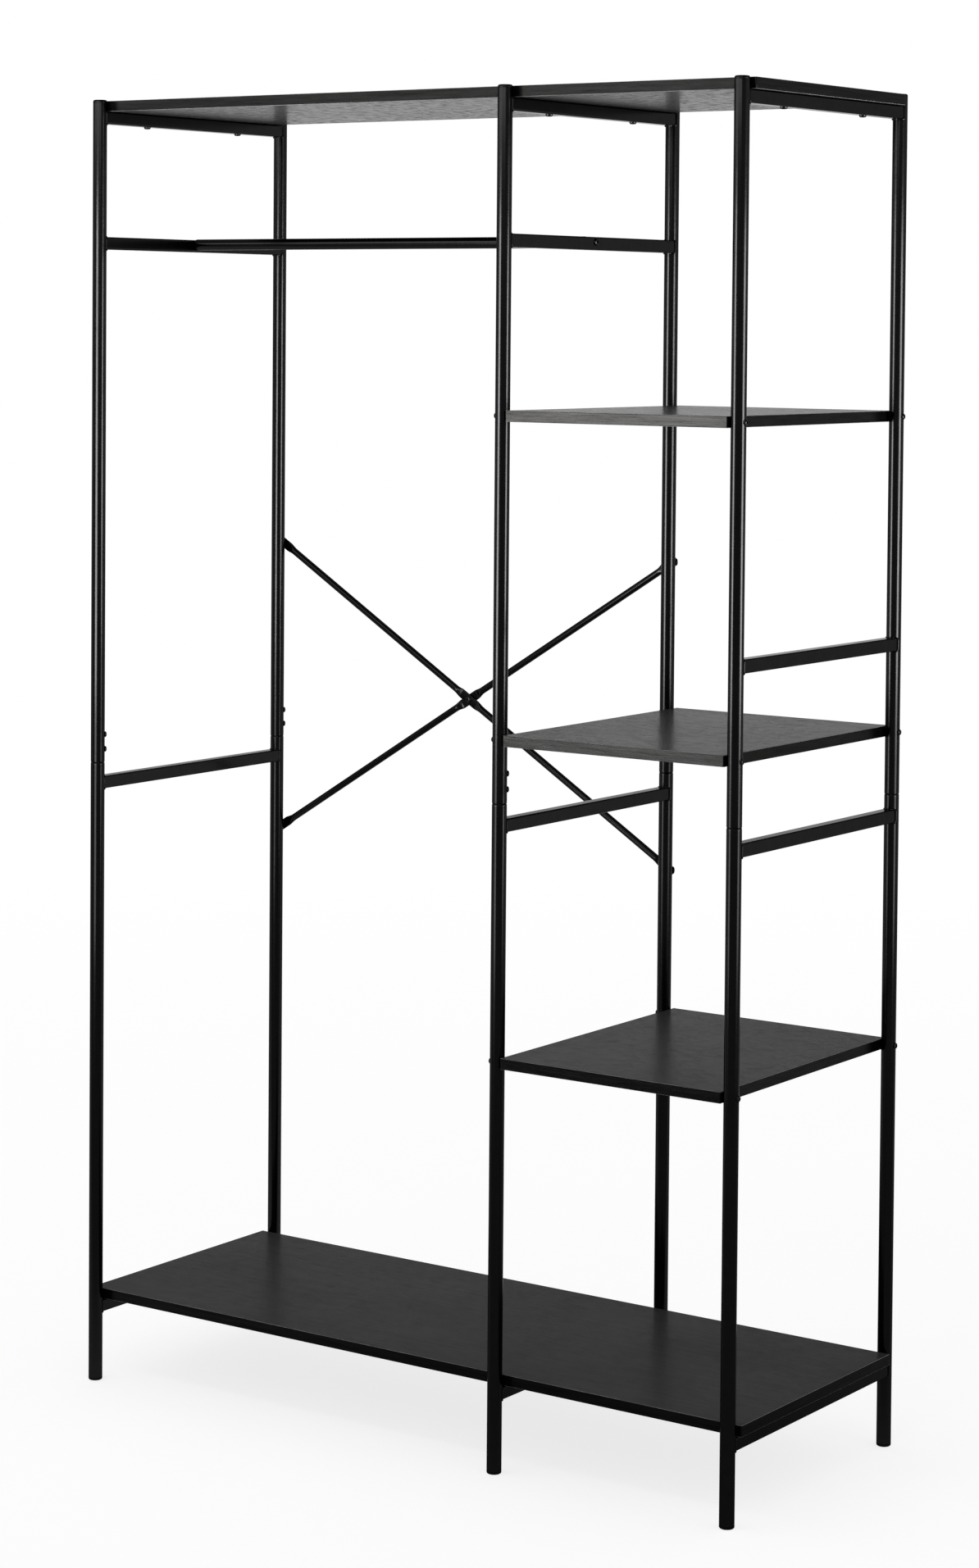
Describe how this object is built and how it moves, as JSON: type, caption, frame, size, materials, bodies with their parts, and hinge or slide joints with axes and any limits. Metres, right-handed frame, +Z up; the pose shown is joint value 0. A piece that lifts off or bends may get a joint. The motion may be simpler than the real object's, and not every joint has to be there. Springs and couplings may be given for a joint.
{
  "type": "open frame wardrobe",
  "caption": "Free-standing open wardrobe of round black tube frames with a hanging bay and clothes rod, a column of shelves, dark boards at top and bottom, and crossed rear braces.",
  "frame": {"origin": "on the floor, in the middle of the overall box", "axes": "+Z up, +X to the right seen from the front, -Y towards the viewer at the front"},
  "size_m": [1.091, 0.4435, 1.84],
  "materials": {
    "tube": "satin black powder coat",
    "board": "dark grey laminated board with a fine long grain",
    "plastic": "moulded black",
    "screw": "black zinc"
  },
  "bodies": {
    "root": {"left_front_lower_post": "tube", "left_front_upper_post": "tube", "left_back_lower_post": "tube", "left_back_upper_post": "tube", "middle_front_lower_post": "tube", "middle_front_upper_post": "tube", "middle_back_lower_post": "tube", "middle_back_upper_post": "tube", "right_front_lower_post": "tube", "right_front_upper_post": "tube", "right_back_lower_post": "tube", "right_back_upper_post": "tube", "splice_sleeves": "tube", "post_feet": "plastic", "post_caps": "plastic", "left_bottom_rail": "tube", "left_frame_rail": "tube", "left_top_rail": "tube", "middle_bottom_rail": "tube", "middle_frame_rail": "tube", "middle_top_rail": "tube", "right_bottom_rail": "tube", "right_frame_rail": "tube", "right_top_rail": "tube", "left_hanging_rail": "tube", "middle_hanging_rail": "tube", "right_upper_frame_rail": "tube", "top_board": "board", "bottom_board": "board", "lower_shelf": "board", "middle_shelf": "board", "upper_shelf": "board", "clothes_rod": "tube", "clothes_rod_plugs": "plastic", "clothes_rod_screws": "screw", "front_brace": "tube", "rear_brace": "tube", "brace_end_screws": "screw", "brace_centre_bolt": "screw", "brace_centre_nut": "screw", "splice_screws": "screw", "shelf_screws": "screw", "top_board_screws": "screw", "bottom_board_screws": "screw"}
  },
  "joints": []
}
